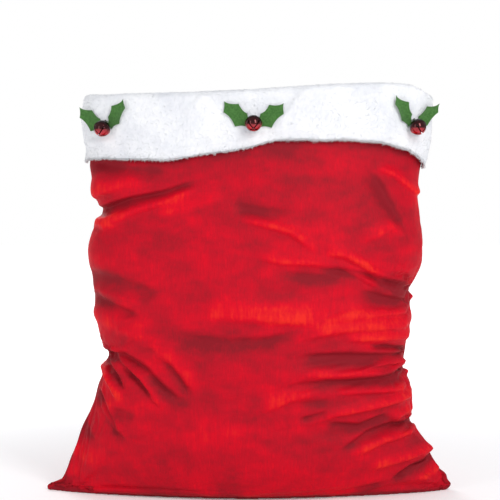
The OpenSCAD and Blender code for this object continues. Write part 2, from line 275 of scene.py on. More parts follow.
def fold_field(x, z, folds):
    """How far the folds move the cloth out of its plane, in millimetres, and how much of that is
    crest and trough. A ridge sags: it rises gently from above and turns in sharply below."""
    total, crest, trough = np.zeros_like(x), np.zeros_like(x), np.zeros_like(x)
    for line, widths, depths in folds:
        line = np.array(line, float)
        pieces = np.linalg.norm(np.diff(line, axis=0), axis=1)
        start = np.concatenate([[0], np.cumsum(pieces)]) / pieces.sum()
        best = np.full(x.shape, 1e9)
        along, above = np.zeros_like(x), np.zeros_like(x)
        for k in range(len(pieces)):
            d = line[k + 1] - line[k]
            u = np.clip(((x - line[k, 0]) * d[0] + (z - line[k, 1]) * d[1]) / (d @ d), 0, 1)
            dx, dz = x - line[k, 0] - u * d[0], z - line[k, 1] - u * d[1]
            r = np.hypot(dx, dz)
            upward = np.array([-d[1], d[0]]) * (1 if d[0] >= 0 else -1) / np.hypot(*d)
            near = r < best
            best = np.where(near, r, best)
            above = np.where(near, dx * upward[0] + dz * upward[1], above)
            along = np.where(near, start[k] + u * (start[k + 1] - start[k]), along)
        width = widths[0] + (widths[1] - widths[0]) * along
        depth = depths[0] + (depths[1] - depths[0]) * along
        fade = np.ones_like(x)
        for end, share in ((line[0], along), (line[-1], 1 - along)):
            to_seam = min(end[0] - curve(LEFT_SIDE, end[1]), curve(RIGHT_SIDE, end[1]) - end[0])
            if to_seam > 30:
                fade *= np.clip(share / 0.3, 0, 1) ** 2 * (3 - 2 * np.clip(share / 0.3, 0, 1))
        skew = 1 + SKEW * np.sign(depth) * np.tanh(above / (0.4 * width))
        bump = fade * np.exp(-((best / (width * skew)) ** 2))
        total += depth * bump
        crest += np.maximum(depth, 0) * bump
        trough -= np.minimum(depth, 0) * bump
    return total, crest, trough


# ---- The two velour panels: one even grid of threads each, cut 0.9 m wide and 1 m long.
FINE = (267, 297)  # the columns and rows of the finished cloth
COARSE = (141, 157)  # and of the cloth that is simulated
CLOTH = (0.90, 1.00)
CLOTH_THICK, ALLOWANCE_THICK, FELT_THICK = 0.003, 0.0014, 0.002
SEAM_GAP = 0.9  # the panels' faces stand this far off the middle plane where they meet
FLOOR_STEPS, WALL_STEPS = 11, 260


def panel_grid(side, cols, rows):
    """The panel's points, from the bottom seam across the floor and up the wall to the rim."""
    share = np.linspace(0, 1, cols)
    levels = np.concatenate([np.linspace(0, 60, 31), np.linspace(60, 900, 141)[1:]])
    table = np.array([by_length(z, share, side) for z in levels])
    top = curve(RIM[side], table[np.searchsorted(levels, RIM_LEVEL), 0]) - 7
    grid = np.zeros((rows, cols, 3))
    for i in range(cols):
        wall = np.linspace(0, top[i], WALL_STEPS)
        x = np.interp(wall, levels, table[:, 0, i])
        y = np.interp(wall, levels, table[:, 1, i])
        foot = np.linspace(0, 1, FLOOR_STEPS + 1)[:-1]
        path = np.concatenate([
            np.stack([np.full(FLOOR_STEPS, x[0]), foot * y[0], np.zeros(FLOOR_STEPS)], 1),
            np.stack([x, y, wall], 1),
        ])
        run = np.concatenate([[0], np.cumsum(np.linalg.norm(np.diff(path, axis=0), axis=1))])
        s = np.linspace(0, run[-1], rows)
        for k in range(3):
            grid[:, i, k] = np.interp(s, run, path[:, k])
    return grid


def shaped_panel(side, cols, rows, fine=True):
    """The panel with its folds, each sculpted as a line of its own."""
    grid = panel_grid(side, cols, rows)
    normal = grid_normals(grid, -side)
    x, z = grid[..., 0], grid[..., 2]
    lift, crest, trough = fold_field(x, z, FRONT_FOLDS if side == FRONT else BACK_FOLDS)
    lift *= FOLD_DEPTH
    # painted light and shade: a painted highlight on the folds' crests and painted shade in their
    # troughs
    painted_shading = np.tanh(crest / 6.0) - np.tanh(trough / 6.0)
    # soft unevenness of the filling, and the fine cross creases of the cloth
    lift += 5.0 * wander(grid * (0.6, 1, 1), 150.0, 1 if side == FRONT else 2)
    if fine:
        lift += 1.2 * wander(grid * (0.35, 1, 1), 26.0, 3 if side == FRONT else 4)
    lift *= np.clip(z / 30, 0, 1)
    # under the cuff the cloth lies smooth
    lift *= np.clip((curve(RIM[side], x) - z) / 130, 0, 1) ** 0.7
    seam = np.minimum(np.linspace(0, 1, cols), np.linspace(1, 0, cols)) * CLOTH[0] * 1000
    lift *= np.where(lift < 0, np.clip(seam / 45 + 0.10, 0, 1), np.clip(seam / 16 + 0.15, 0, 1))
    lift -= 2.5 * np.exp(-((seam / 5) ** 2)) * np.clip(z / 30, 0, 1)
    # painted shade: darker along the seams and the floor, and a painted shadow under the cuff
    below_cuff = np.maximum(curve(EDGE[side], x) - z, 0)
    painted_shading -= 1.3 * np.exp(-((seam / 6) ** 2)) + 0.9 * np.exp(-((z / 7) ** 2))
    painted_shading -= (0.55 + 0.3 * wander(grid, 120.0, 21)) * np.exp(-((below_cuff / 38) ** 2))
    # low in the middle the colour is made a little lighter
    painted_shading += 0.2 * np.exp(-(((z - 120) / 80) ** 2) - ((x + 60) / 190) ** 2)
    out = grid + normal * lift[..., None]
    out[..., 2] = np.maximum(out[..., 2], 0.0)
    # the two panels meet along the seams
    out[:, 0, 1] = out[:, -1, 1] = side * SEAM_GAP
    out[0, :, 1] = side * SEAM_GAP
    out[..., 1] = side * np.maximum(side * out[..., 1], SEAM_GAP)
    return out, painted_shading


def lengths(grid):
    """Each point's place on the cloth laid flat: along the thread and up the cloth."""
    across = np.linalg.norm(np.diff(grid, axis=1), axis=2)
    up = np.linalg.norm(np.diff(grid, axis=0), axis=2)
    u = np.concatenate([np.zeros((grid.shape[0], 1)), np.cumsum(across, axis=1)], axis=1)
    v = np.concatenate([np.zeros((1, grid.shape[1])), np.cumsum(up, axis=0)], axis=0)
    return u - u[:, -1:] / 2, v


def resample(field, cols, rows):
    """Catmull-Rom interpolation of a grid of vectors on to a finer grid."""
    def along(a, n):
        at = np.linspace(0, a.shape[0] - 1, n)
        i = np.minimum(at.astype(int), a.shape[0] - 2)
        f = (at - i)[:, None, None]
        last = a.shape[0] - 1
        p0, p1 = a[np.maximum(i - 1, 0)], a[i]
        p2, p3 = a[i + 1], a[np.minimum(i + 2, last)]
        return 0.5 * (2 * p1 + (p2 - p0) * f + (2 * p0 - 5 * p1 + 4 * p2 - p3) * f ** 2
                      + (3 * p1 - p0 - 3 * p2 + p3) * f ** 3)

    return along(along(field, rows).transpose(1, 0, 2), cols).transpose(1, 0, 2)


# The settling: how much longer the flat cloth is than its form, how many frames it is given, the
# farthest that a point may move, how firmly the open cloth is held, and the filling's grid and
# how far it stands inside the cloth.
SPARE_UP, SPARE_ACROSS = 1.05, 0.995
FRAMES, MOST, HOLD = 24, 24.0, 0.2
FILLING, INSET = 61, 15.0
# The cloth is free from this far below the rim, from a seam (in threads) and above the floor.
UNDER_CUFF, NEAR_SEAM, NEAR_FLOOR = 150, 2.5, 14


def relaxed():
    """How the cloth of the closed bag moves as it settles on its filling, at the coarse grids."""
    cols, rows = COARSE
    start = {side: shaped_panel(side, cols, rows, fine=False)[0] for side in (FRONT, BACK)}
    # one closed bag: the back panel shares the front's side and bottom edges
    own = np.zeros((rows, cols), bool)
    own[1:, 1:-1] = True
    count = rows * cols
    index = {FRONT: np.arange(count).reshape(rows, cols)}
    index[BACK] = index[FRONT].copy()
    index[BACK][own] = count + np.arange(own.sum())
    points = np.concatenate([start[FRONT].reshape(-1, 3), start[BACK][own]])
    points[index[FRONT][~own], 1] = 0.0
    # cloth laid flat: its own lengths, with the spare that makes the folds
    plain = {side: panel_grid(side, cols, rows) for side in (FRONT, BACK)}
    flat = np.zeros_like(points)
    for side in (BACK, FRONT):
        u, v = lengths(plain[side])
        flat[index[side]] = np.stack([u * SPARE_ACROSS, v * 0, v * SPARE_UP], -1)
    faces = []
    for side in (FRONT, BACK):
        faces += index[side].ravel()[grid_faces(rows, cols, flip=side == BACK)].tolist()
    bag = new_object("settling_bag", points * MM, faces)
    bag.shape_key_add(name="Basis")
    rest = bag.shape_key_add(name="flat")
    rest.data.foreach_set("co", (flat * MM).ravel())
    rest.value = 0
    held = bag.vertex_groups.new(name="held")
    weight = np.zeros(len(points))
    from_seam = np.minimum(np.arange(cols), np.arange(cols)[::-1])
    for side in (FRONT, BACK):
        k = index[side]
        x, z = plain[side][..., 0], plain[side][..., 2]
        free = np.minimum((curve(RIM[side], x) - z) / UNDER_CUFF, z / NEAR_FLOOR)
        free = np.minimum(free, from_seam / NEAR_SEAM)
        weight[k] = np.maximum(weight[k], np.clip(1 - free, HOLD, 1))
    for level in range(1, 11):
        chosen = np.nonzero(np.round(weight * 10) == level)[0].tolist()
        if chosen:
            held.add(chosen, level / 10, "REPLACE")
    # the filling, and the floor
    inner = {side: panel_grid(side, FILLING, FILLING) for side in (FRONT, BACK)}
    body = []
    for side in (FRONT, BACK):
        g = inner[side] - grid_normals(inner[side], -side) * INSET
        g[..., 2] = np.maximum(g[..., 2], 2.0)
        g[..., 1] = side * np.maximum(side * g[..., 1], 1.0)
        body.append(g.reshape(-1, 3))
    quads = grid_faces(FILLING, FILLING)
    filling = new_object(
        "filling", np.concatenate(body) * MM,
        quads + [tuple(v + FILLING ** 2 for v in f[::-1]) for f in quads],
    )
    ground = new_object("ground", [(-1, -1, 0), (1, -1, 0), (1, 1, 0), (-1, 1, 0)], [(0, 1, 2, 3)])
    for solid in (filling, ground):
        hit = solid.modifiers.new("hit", "COLLISION")
        hit.settings.thickness_outer = 0.002
        hit.settings.cloth_friction = 8
    cloth = bag.modifiers.new("cloth", "CLOTH")
    fabric = cloth.settings
    fabric.quality = 6
    fabric.mass = 0.08
    fabric.tension_stiffness = fabric.compression_stiffness = 40
    fabric.shear_stiffness = 12
    fabric.bending_model = "ANGULAR"
    fabric.bending_stiffness = 1.5
    fabric.air_damping = 4
    fabric.rest_shape_key = rest
    fabric.vertex_group_mass = "held"
    fabric.pin_stiffness = 2
    fabric.effector_weights.gravity = 0.4
    cloth.collision_settings.use_self_collision = False
    cloth.collision_settings.distance_min = 0.002
    cloth.point_cache.frame_end = FRAMES
    scene = bpy.context.scene
    for f in range(1, FRAMES + 1):
        scene.frame_set(f)
    shown = bag.evaluated_get(bpy.context.evaluated_depsgraph_get()).data
    end = np.zeros(len(points) * 3)
    shown.vertices.foreach_get("co", end)
    move = end.reshape(-1, 3) / MM - points
    size = np.linalg.norm(move, axis=1, keepdims=True)
    print("settling: mean %.1f most %.1f mm" % (size.mean(), size.max()))
    move *= MOST * np.tanh(size / MOST) / np.maximum(size, 1e-9)
    scene.frame_set(1)
    for obj in (bag, filling, ground):
        bpy.data.objects.remove(obj)
    return {side: move[index[side]] for side in (FRONT, BACK)}


SETTLED = relaxed()


def panel(name, side, nodes):
    cols, rows = FINE
    grid, painted_shading = shaped_panel(side, cols, rows)
    grid = grid + resample(SETTLED[side], cols, rows)
    grid[..., 2] = np.maximum(grid[..., 2], 0.0)
    grid[..., 1] = side * np.maximum(side * grid[..., 1], SEAM_GAP)
    u, v = np.meshgrid(np.linspace(0, CLOTH[0], cols), np.linspace(0, CLOTH[1], rows))
    obj = new_object(
        name, grid.reshape(-1, 3) * MM, grid_faces(rows, cols, flip=side == BACK),
        np.stack([u, v], -1).reshape(-1, 2),
    )
    # the painted light and shade of the folds, the seams, the floor and the cuff's shadow, which
    # the velour's colour reads
    layer = obj.data.attributes.new("painted_shading", "FLOAT", "POINT")
    layer.data.foreach_set("value", painted_shading.ravel())
    thicken(obj, "cloth", CLOTH_THICK, -1).material_offset = 1
    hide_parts(*nodes)
    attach(obj, "sack")
    return obj


# ---- The cuff
CUFF_COLS = 221
PLUSH = 7.0
# How many points of the section run down the facing, over the roll and down the flap.
FACING_POINTS, ROLL_POINTS, FLAP_POINTS = 7, 11, 30
FLAP_START = 14  # depth of the flap's first point below the rim
OUTER_FACE = 10.8  # points of the section farther out than this are on the outer face
FIBRES = (9000, 2600, 5200)  # along the lower edge, over the rim and on the flap


def cuff_profile(length):
    """The cuff's closed section, as (distance out from the panel, depth below the rim). The plush
    thins out over the last stretch above its lower edge."""
    inside, outside, lean, thinning, thin = -9.0, 9.0, 4.0, 16.0, 0.5
    half = PLUSH / 2
    line = [(inside, d) for d in np.linspace(FACING, 12, FACING_POINTS)]
    for a in np.radians(np.linspace(180, 0, ROLL_POINTS + 2)[1:-1]):
        line.append((outside * math.cos(a), 9 + half - 8.1 * math.sin(a)))
    shares = 1 - (1 - np.linspace(0, 1, FLAP_POINTS)) ** 1.5
    line += [(outside + lean * s, FLAP_START + (length - FLAP_START) * s) for s in shares]
    line = np.array(line)
    left = np.where(line[:, 0] > outside - 0.1, length - line[:, 1], length)
    taper = 1 - (1 - thin) * np.clip(1 - left / thinning, 0, 1)
    line[:, 0] -= half * (1 - taper)
    along = np.gradient(line, axis=0)
    along /= np.linalg.norm(along, axis=1, keepdims=True)
    across = np.stack([along[:, 1], -along[:, 0]], 1)
    ends = np.radians(np.linspace(90, -90, 7)[1:-1])
    tip = half * taper[-1]
    tail = [line[-1] + tip * (math.sin(a) * across[-1] + math.cos(a) * along[-1]) for a in ends]
    head = [line[0] - half * (math.sin(a) * across[0] + math.cos(a) * along[0]) for a in ends]
    wide = half * taper[:, None] * across
    return np.concatenate([line + wide, tail, (line - wide)[::-1], head])


def creases(x, z):
    """How far the front cuff's plush is pushed in along its soft slanting creases."""
    pushed = np.zeros_like(x)
    for x0, z0, x1, z1, width, depth in CREASES:
        run = math.hypot(x1 - x0, z1 - z0)
        along = ((x - x0) * (x1 - x0) + (z - z0) * (z1 - z0)) / run
        aside = ((z - z0) * (x1 - x0) - (x - x0) * (z1 - z0)) / run
        ends = np.clip(np.minimum(along, run - along) / 25 + 0.5, 0, 1)
        pushed += depth * ends * np.exp(-((aside / width) ** 2))
    return pushed


def cuff(name, side, nodes):
    share = np.linspace(0, 1, CUFF_COLS)
    mouth_x, _ = by_length(RIM_LEVEL, share, side)
    rim, edge = curve(RIM[side], mouth_x), curve(EDGE[side], mouth_x)
    edge = edge + 2.5 * wander(np.stack([mouth_x, mouth_x * 0, edge], 1), 60.0, 5)
    loops, outer = [], []
    for i in range(CUFF_COLS):
        section = cuff_profile(rim[i] - edge[i])
        outer.append(section[:, 0] > OUTER_FACE)
        points = []
        # the roll stands out a little at the left seam, and the lower edge hugs the panel at both
        from_seam = min(share[i], 1 - share[i])
        tucked = 6 * math.exp(-((from_seam / 0.03) ** 2))
        flared = 7 * math.exp(-((share[i] / 0.02) ** 2))
        for off, depth in section:
            z = rim[i] - depth
            low, high = min(max((depth - 100) / 50, 0), 1), max(1 - depth / 25, 0)
            x, y = OUTLINES[side](z, share[i], off - tucked * low + flared * high)
            points.append((x, y, z))
        loops.append(points)
    p = np.array(loops)
    normal = grid_normals(p, side)
    deep = rim[:, None] - p[..., 2]
    soft = 2.2 * wander(p * (1, 1, 0.6), 95.0, 11) + 0.4 * wander(p, 34.0, 12)
    soft *= np.clip(deep / 30, 0.25, 1)
    fine = 0.35 * wander(p, 5.0, 13)
    if side == FRONT:
        soft -= np.array(outer) * creases(p[..., 0], p[..., 2])
    p = p + normal * (soft + fine)[..., None]
    p[0, :, 1] = p[-1, :, 1] = side * 0.3
    p[..., 1] = side * np.maximum(side * p[..., 1], 0.3)
    rows, cols = p.shape[:2]
    faces = grid_faces(rows, cols, flip=side == BACK, wrap=True)
    first, last = range(cols), range((rows - 1) * cols, rows * cols)
    faces += [first[::side], last[::-side]]
    obj = new_object(name, p.reshape(-1, 3) * MM, faces)
    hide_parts(*nodes)
    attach(obj, "sack")
    return obj, p, normal


def fringe(name, p, normal, seed):
    """The pile's loose ends: fine tapered fibres, in tufts along the cuff's lower edge, and
    scattered over the rim and the flap."""
    rng = np.random.default_rng(seed)
    rows, cols = p.shape[:2]
    flap_end = FACING_POINTS + ROLL_POINTS + FLAP_POINTS
    low = np.clip(rng.normal(flap_end + 1, 2.2, FIBRES[0]).astype(int), flap_end - 9, flap_end + 6)
    rim = rng.integers(8, 20, FIBRES[1])
    flap = rng.integers(20, flap_end - 2, FIBRES[2])
    across = np.concatenate([low, rim, flap])
    at = rng.uniform(0, rows - 1.001, len(across))
    i, f = at.astype(int), (at % 1)[:, None]
    k = np.mod(across + 1, cols)
    g = rng.uniform(0, 1, len(across))[:, None]
    root = ((p[i, across] * (1 - f) + p[i + 1, across] * f) * (1 - g)
            + (p[i, k] * (1 - f) + p[i + 1, k] * f) * g)
    tuft = np.clip(0.65 + 0.7 * wander(root * (1, 1, 0.2), 5.0, seed), 0.25, 1.2)
    length = np.concatenate([
        rng.uniform(4.0, 7.5, FIBRES[0]) * tuft[:FIBRES[0]], rng.uniform(2.0, 4.0, FIBRES[1]),
        rng.uniform(1.5, 2.7, FIBRES[2]),
    ])
    down = np.concatenate([np.full(FIBRES[0], 1.1), np.zeros(FIBRES[1]), np.full(FIBRES[2], 1.4)])
    out = normal[i, across]
    aim = out + rng.normal(0, 0.45, root.shape)
    aim[:, 2] -= down
    aim /= np.linalg.norm(aim, axis=1, keepdims=True)
    side = np.cross(aim, rng.normal(0, 1, root.shape))
    side /= np.linalg.norm(side, axis=1, keepdims=True)
    other = np.cross(aim, side)
    thick = rng.uniform(0.4, 0.75, len(root))[:, None]
    thirds = (0, 2.09, 4.19)
    base = [root + thick * (math.cos(a) * side + math.sin(a) * other) - aim for a in thirds]
    tip = root + aim * length[:, None]
    points = np.stack(base + [tip], 1).reshape(-1, 3)
    start = np.arange(len(root)) * 4
    faces = np.stack([start, start + 1, start + 3, start + 1, start + 2, start + 3,
                      start + 2, start, start + 3], -1).reshape(-1, 3)
    obj = new_object(name, points * MM, faces.tolist())
    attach(obj, "sack")
    finish_with(obj, PILE)
    return obj


def outline_reader(side):
    """Reads a point of the outline from a table, by height, share of length and distance out."""
    levels = np.linspace(690, 905, 44)
    share = np.linspace(0, 1, OUTLINE_STEPS)
    offs = np.array([-16.0, 20.0])
    table = np.array([[by_length(z, share, side, off) for off in offs] for z in levels])

    def read(z, s, off):
        a = np.clip((z - levels[0]) / (levels[1] - levels[0]), 0, len(levels) - 1.001)
        i = int(a)
        fz = a - i
        b = np.clip(s * (OUTLINE_STEPS - 1), 0, OUTLINE_STEPS - 1.001)
        j = int(b)
        fs = b - j
        fo = (off - offs[0]) / (offs[1] - offs[0])
        q = table[i:i + 2, :, :, j:j + 2]
        q = q[0] * (1 - fz) + q[1] * fz
        q = q[0] * (1 - fo) + q[1] * fo
        q = q[:, 0] * (1 - fs) + q[:, 1] * fs
        return q[0], q[1]

    return read


OUTLINES = {side: outline_reader(side) for side in (FRONT, BACK)}

# ---- The ornaments: felt leaves and the threads that hold them
FACE_OUT, FACE_LEAN = 11, 4  # how far the cuff's face is out from the panel, and its lean
SLOPE_PROBE = 4  # how far to either side the face's slope is measured


def cuff_face(x, z):
    """The y of the cuff's outer face at a point of the front."""
    rim, edge = curve(RIM[FRONT], x), curve(EDGE[FRONT], x)
    off = FACE_OUT + FACE_LEAN * (rim - z) / (rim - edge)
    left, right = curve(LEFT_SIDE, z), curve(RIGHT_SIDE, z)
    n = curve(SQUARENESS, z)
    r = abs(x - (left + right) / 2) / ((right - left) / 2 + off)
    return -(curve(HALF_DEPTH, z) + off) * (1 - r ** n) ** (1 / n)


def ornament_frame(x, z):
    """Axes of an ornament: along the cuff, out of it and up it, and the point on its face."""
    d = SLOPE_PROBE
    across = (cuff_face(x + d, z) - cuff_face(x - d, z)) / (2 * d)
    upward = (cuff_face(x, z + d) - cuff_face(x, z - d)) / (2 * d)
    a = math.atan(across)
    b = -math.atan(upward / math.hypot(1, across))
    along = np.array([math.cos(a), math.sin(a), 0])
    up = np.array([math.sin(a) * math.sin(b), -math.cos(a) * math.sin(b), math.cos(b)])
    out = np.cross(along, up)
    return along, out, up, np.array([x, cuff_face(x, z), z])


# Half a holly leaf's outline each, as shares of its reach: the spikes, with scallops between.
INNER = [(0.10, -0.03), (0.19, -0.05), (0.32, -0.13), (0.65, -0.19), (1.0, 0.0)]
OUTER = [(0.10, 0.16), (0.35, 0.35), (0.83, 0.24), (1.0, 0.0)]
REACH = 80.0
LEAF_COLS, LEAF_ROWS = 56, 19
LEAF_SPAN = (0.10, 0.998)  # from the sewn base to the tip, as shares of the reach
# Each leaf's reach, and the width of its inner and outer side: some curl in along their length.
LEAF_SHAPE = {
    ("left", 0): (1.0, 0.8, 0.95), ("left", 1): (0.93, 1.0, 0.75),
    ("middle", 0): (1.0, 1.0, 1.0), ("middle", 1): (0.98, 1.0, 1.0),
    ("right", 0): (1.0, 1.2, 0.62), ("right", 1): (1.05, 1.0, 0.66),
}


def leaf_edge(corners, u, deep):
    xs, ys = np.array(corners).T
    k = np.clip(np.searchsorted(xs, u, side="right") - 1, 0, len(xs) - 2)
    s = (u - xs[k]) / (xs[k + 1] - xs[k])
    size = np.hypot(xs[k + 1] - xs[k], ys[k + 1] - ys[k])
    return ys[k] + s * (ys[k + 1] - ys[k]) + deep * 4 * s * (1 - s) * np.minimum(size / 0.4, 1)


def leaf_place(spot, which):
    """Gives the points of the sack at (along a leaf, across it, out from the cuff)."""
    x, z, turns = SPOTS[spot]
    along, out, up, origin = ornament_frame(x, z)
    turn, hand = math.radians(turns[which]), (1, -1)[which]

    def place(a, b, h):
        local = np.stack([a * math.cos(turn) - b * hand * math.sin(turn), h,
                          a * math.sin(turn) + b * hand * math.cos(turn)], -1)
        return origin + local @ np.array([along, out, up])

    return place


def leaf(spot, which):
    u = np.linspace(*LEAF_SPAN, LEAF_COLS)
    reach, inner_share, outer_share = LEAF_SHAPE[spot, which]
    inner = leaf_edge(INNER, u, 0.045) * inner_share
    outer = leaf_edge(OUTER, u, -0.05) * outer_share
    c = np.linspace(0, 1, LEAF_ROWS)[:, None]
    w = inner + (outer - inner) * c
    uu = np.broadcast_to(u, w.shape)
    middle = (inner + outer) / 2
    half = np.maximum((outer - inner) / 2, 1e-4)
    side = (w - middle) / half
    seed = 21 + len(spot) + which  # each spot's name has its own length
    # the felt lifts at its tip and edges, and creases a little along its middle
    rise = 1.6 + 4.0 * np.clip((uu - 0.25) / 0.75, 0, 1) ** 1.6
    curl = 1.5 + 8 * (1 - outer_share)
    rise += curl * side ** 2 * (half / 0.2) * np.clip(uu / 0.35 - 0.3, 0, 1)
    flat = np.stack([uu * REACH, w * REACH, rise], -1)
    rise = rise + 1.2 * wander(flat, 22.0, seed) * np.clip(uu / 0.4 - 0.3, 0, 1)
    points = leaf_place(spot, which)(uu * REACH * reach, w * REACH, rise)
    obj = new_object(
        f"{spot}_leaf_{'ab'[which]}_felt", points.reshape(-1, 3) * MM,
        grid_faces(LEAF_ROWS, LEAF_COLS, flip=which == 1),
    )
    thicken(obj, "felt", FELT_THICK)
    round_off = obj.modifiers.new("cut edge", "BEVEL")
    round_off.width = 0.0004
    round_off.limit_method = "ANGLE"
    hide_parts(f"{spot}_holly_leaf_{'ab'[which]}")
    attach(obj, f"{spot}_leaf_{'ab'[which]}")
    finish_with(obj, FELT)
    return obj


def tubes(paths, radius, sides=6):
    """Round threads along some short paths, closed at their ends."""
    points, faces = [], []
    for path in paths:
        path = np.array(path, float)
        start = len(points)
        t = np.gradient(path, axis=0)
        t /= np.linalg.norm(t, axis=1, keepdims=True)
        ref = np.array([0.31, 0.87, 0.38])
        for p, d in zip(path, t):
            a = np.cross(d, ref)
            a /= np.linalg.norm(a)
            b = np.cross(d, a)
            for k in range(sides):
                w = 2 * math.pi * k / sides
                points.append(p + radius * (math.cos(w) * a + math.sin(w) * b))
        for j in range(len(path) - 1):
            for k in range(sides):
                m = (k + 1) % sides
                q = start + j * sides
                faces.append((q + k, q + sides + k, q + sides + m, q + m))
        last = start + (len(path) - 1) * sides
        faces.append(tuple(start + k for k in range(sides)))
        faces.append(tuple(last + k for k in range(sides))[::-1])
    return np.array(points), faces


def leaf_stitches(spot):
    """Whip stitches over the two leaves' bases, each arched out of the cuff and back into it."""
    s = np.linspace(0, 1, 9)
    arch = -0.5 + 4.0 * np.sin(math.pi * s) ** 0.7
    paths = [
        leaf_place(spot, which)(5.4 + 6.0 * s, w + 0.8 * s, arch)
        for which in (0, 1) for w in np.linspace(-0.02, 0.135, 6) * REACH
    ]
    points, faces = tubes(paths, 0.45)
    obj = new_object(f"{spot}_leaf_thread", points * MM, faces)
    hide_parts(f"{spot}_holly_stitches")
    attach(obj, "sack")
    finish_with(obj, GREEN_THREAD)
    return obj


def mouth_stitches():
    """The line of stitches that holds the facing inside the mouth, all the way round."""
    paths = []
    count = 96
    for side in (FRONT, BACK):
        for k in range(count):
            path = []
            for s in np.linspace(0, 1, 5):
                share = (k + 0.15 + 0.7 * s) / count
                x0, _ = OUTLINES[side](RIM_LEVEL, share, 0)
                z = curve(RIM[side], x0) - FACING + 4
                x, y = OUTLINES[side](z, share, -12.9 - 0.9 * math.sin(math.pi * s))
                path.append((x, y, z))
            paths.append(path)
    points, faces = tubes(paths, 0.8)
    obj = new_object("mouth_stitch_line", points * MM, faces)
    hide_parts("mouth_stitching")
    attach(obj, "sack")
    finish_with(obj, PALE_THREAD)
    return obj


def seam_allowance(name, line, inward, node_name, seed):
    """The two turned-in edges of the panels along a seam, side by side, with their wavy edge."""
    rows = len(line)
    across = np.array([0.6, 3.0, 6.0, 9.0, 12.0])
    layers = []
    for lay in (-1, 1):
        grid = np.zeros((rows, len(across), 3))
        for k, a in enumerate(across):
            ripple = wander(line + a, 30.0, seed) * (0.3 + a / 10)
            grid[:, k] = line + inward * (a + 0.6 * ripple)[:, None]
            grid[:, k, 1] += lay * (0.9 + 0.12 * a) + 1.2 * wander(line, 45.0, seed + 1) * a / 12
        layers.append(grid)
    points = np.concatenate([g.reshape(-1, 3) for g in layers])
    count = rows * len(across)
    faces = [tuple(v + k * count for v in f)
             for k in (0, 1) for f in grid_faces(rows, len(across))]
    obj = new_object(name, points * MM, faces)
    thicken(obj, "cloth", ALLOWANCE_THICK)
    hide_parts(node_name)
    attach(obj, "sack")
    finish_with(obj, VELOUR_BACK)
    return obj


# ---- Materials
def feed(tree, socket, value):
    """Links a socket to another one, or sets its value."""
    if isinstance(value, bpy.types.NodeSocket):
        tree.links.new(value, socket)
    else:
        socket.default_value = value


def node(tree, kind, **values):
    """A new node, with its inputs and its settings by their names."""
    made = tree.nodes.new(kind)
    for key, value in values.items():
        if key in made.inputs:
            feed(tree, made.inputs[key], value)
        else:
            setattr(made, key, value)
    return made


def maths(tree, operation, *terms, **settings):
    made = node(tree, "ShaderNodeMath", operation=operation, **settings)
    for socket, term in zip(made.inputs, terms):
        feed(tree, socket, term)
    return made.outputs[0]


def material(name, build, own):
    """A material: a function adds its nodes, and own holds the shader's even values."""
    mat = bpy.data.materials.new(name)
    mat.use_nodes = True
    tree = mat.node_tree
    bsdf = tree.nodes["Principled BSDF"]
    for key, value in own.items():
        bsdf.inputs[key].default_value = value
    build(tree, bsdf, node(tree, "ShaderNodeTexCoord").outputs)
    return mat


def noise_at(tree, vector, scale, detail=4, stretch=(1, 1, 1)):
    place = node(tree, "ShaderNodeMapping", Vector=vector, Scale=stretch).outputs[0]
    made = node(tree, "ShaderNodeTexNoise", Vector=place, Scale=scale, Detail=detail)
    return made.outputs["Fac"]


def weighted(tree, terms, offset=0.0):
    """The sum of some values, each times its weight."""
    for source, weight in terms:
        offset = maths(tree, "MULTIPLY_ADD", source, weight, offset)
    return offset


def coloured(tree, bsdf, source, stops):
    """Colours a surface by a value, through the stops of a ramp."""
    made = node(tree, "ShaderNodeValToRGB")
    while len(made.color_ramp.elements) < len(stops):
        made.color_ramp.elements.new(0.5)
    for e, (at, colour) in zip(made.color_ramp.elements, stops):
        e.position = at
        e.color = (*colour, 1)
    tree.links.new(source, made.inputs[0])
    tree.links.new(made.outputs[0], bsdf.inputs["Base Color"])


def bumped(tree, bsdf, height, strength, distance):
    """Roughens a surface by a height."""
    bump = node(tree, "ShaderNodeBump", Height=height, Strength=strength, Distance=distance)
    tree.links.new(bump.outputs[0], bsdf.inputs["Normal"])


def velour(tree, bsdf, coords):
    """Crushed velour: a painted highlight on the folds' crests and painted shade in their troughs,
    along the seams and under the cuff, with lighter and darker patches at random.
    """
    place = coords["Object"]
    painted_shading = node(tree, "ShaderNodeAttribute", attribute_name="painted_shading").outputs["Fac"]
    patches = noise_at(tree, place, 7, 3, (1, 1, 1.9))
    brushed = noise_at(tree, place, 26, 4, (1, 1, 1.6))
    streaks = noise_at(tree, place, 330, 2, (1, 1, 0.16))
    ribs = noise_at(tree, place, 150, 1, (1, 1, 0.08))
    shade = weighted(tree, [(painted_shading, 0.42), (patches, 0.85), (brushed, 0.5), (streaks, 0.25)], -0.38)
    # the ribs show only where the painted shading is light, on the painted highlights
    lit = maths(tree, "SUBTRACT", shade, 0.35, use_clamp=True)
    ribbed = maths(tree, "MULTIPLY_ADD", weighted(tree, [(ribs, 1.2)], -0.6), lit, shade)
    # the ramp's dark end carries the painted shade and its light orange end the painted highlight,
    # with the patches' own tones between
    coloured(tree, bsdf, ribbed, [
        (0.13, (0.25, 0.007, 0.015)), (0.42, (0.47, 0.003, 0.015)),
        (0.66, (0.64, 0.001, 0.014)), (0.93, (0.76, 0.019, 0.013)),
    ])
    pile = noise_at(tree, place, 900, 2, (1, 1, 0.35))
    height = weighted(tree, [(streaks, 1.0), (ribs, 0.6), (pile, 0.5), (brushed, 1.5)])
    bumped(tree, bsdf, height, 0.4, 0.0012)


def velour_back(tree, bsdf, coords):
    knit = noise_at(tree, coords["Object"], 700, 2, (1, 1, 2))
    coloured(tree, bsdf, knit, [(0.3, (0.30, 0.004, 0.010)), (0.7, (0.42, 0.008, 0.018))])
    bumped(tree, bsdf, knit, 0.3, 0.0008)


